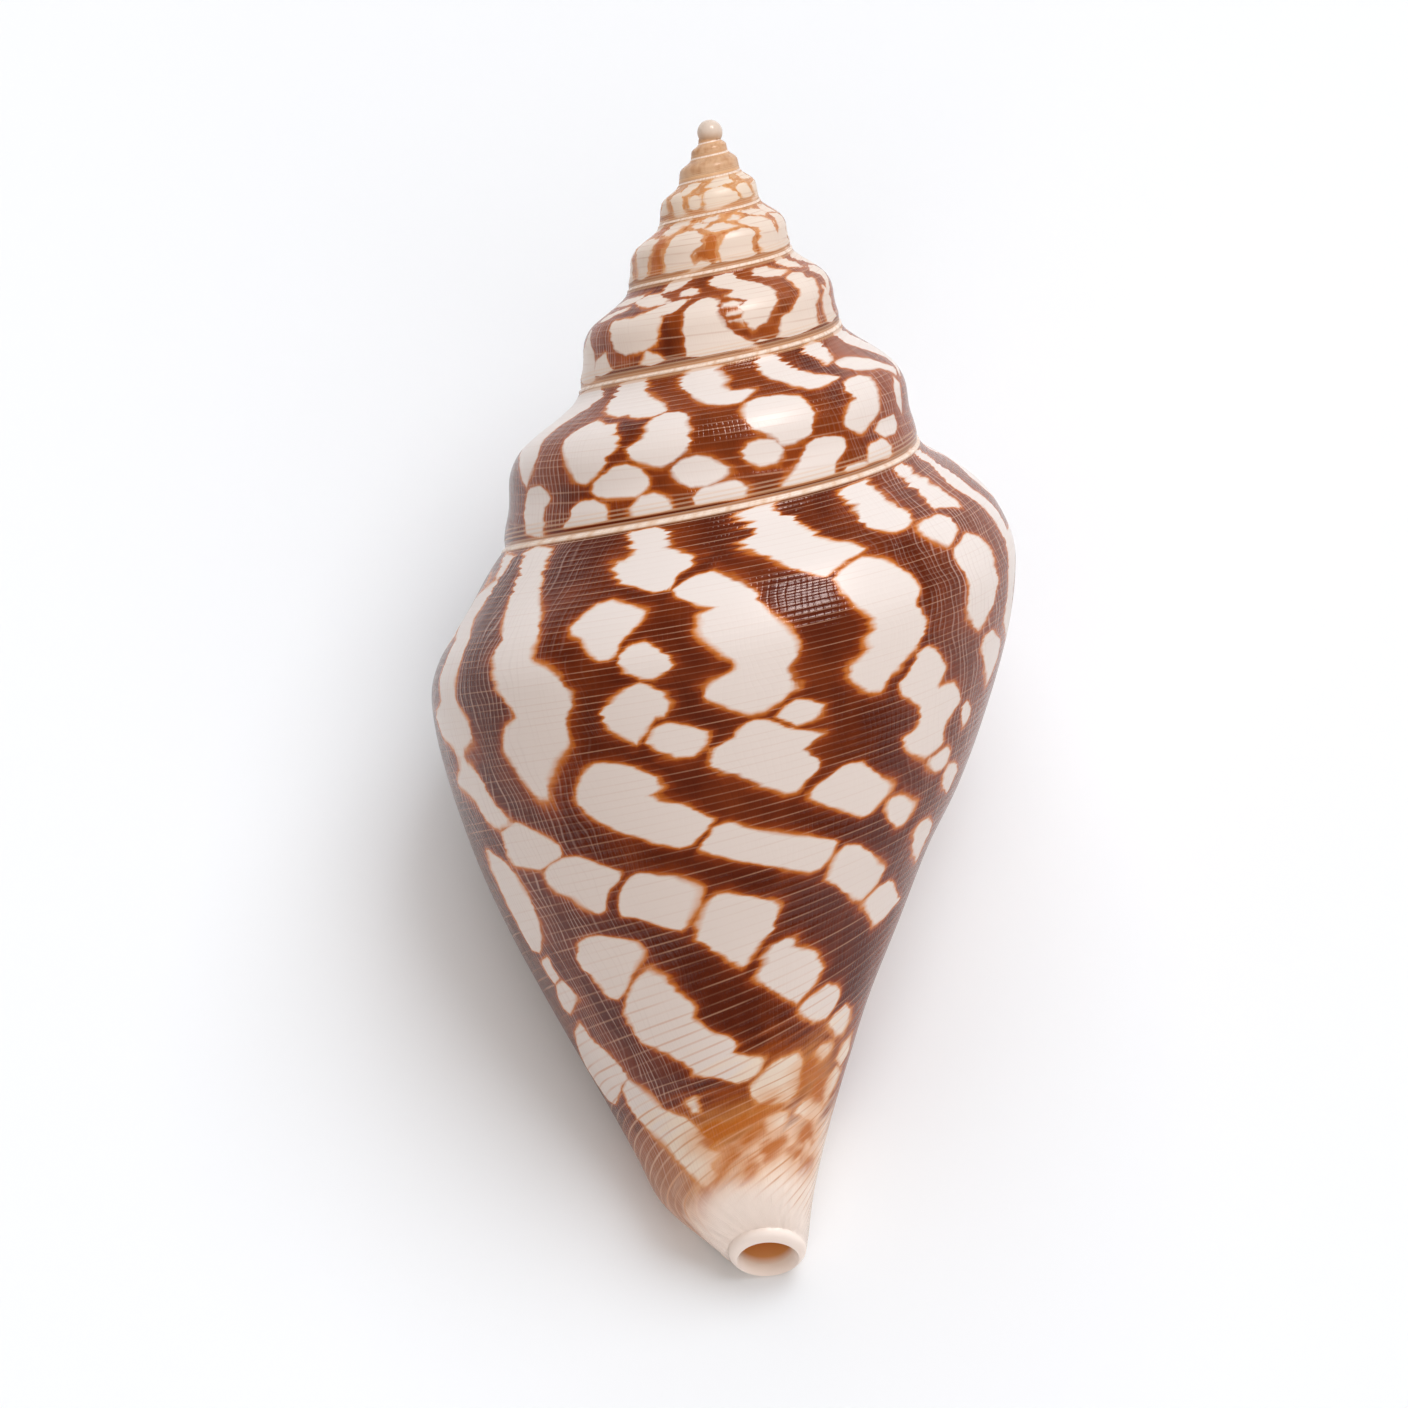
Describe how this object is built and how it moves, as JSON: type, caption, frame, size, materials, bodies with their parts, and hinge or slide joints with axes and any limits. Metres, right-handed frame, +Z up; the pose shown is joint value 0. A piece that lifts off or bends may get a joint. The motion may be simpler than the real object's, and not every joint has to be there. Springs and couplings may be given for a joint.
{
  "type": "conch shell",
  "caption": "Spiral sea shell with a stepped, pointed spire, a wide last whorl tapering to a short bent siphonal canal, and a long open aperture underneath.",
  "frame": {"origin": "middle of the shell's bounding box, on the table it lies on", "axes": "+Y from the canal towards the tip of the spire, +Z up out of the shell's back"},
  "size_m": [0.051, 0.0944, 0.0432],
  "materials": {
    "porcelain": "glossy shell, cream with a dark brown network, pale peach at the canal's end"
  },
  "bodies": {
    "root": {"shell": "porcelain"}
  },
  "joints": []
}
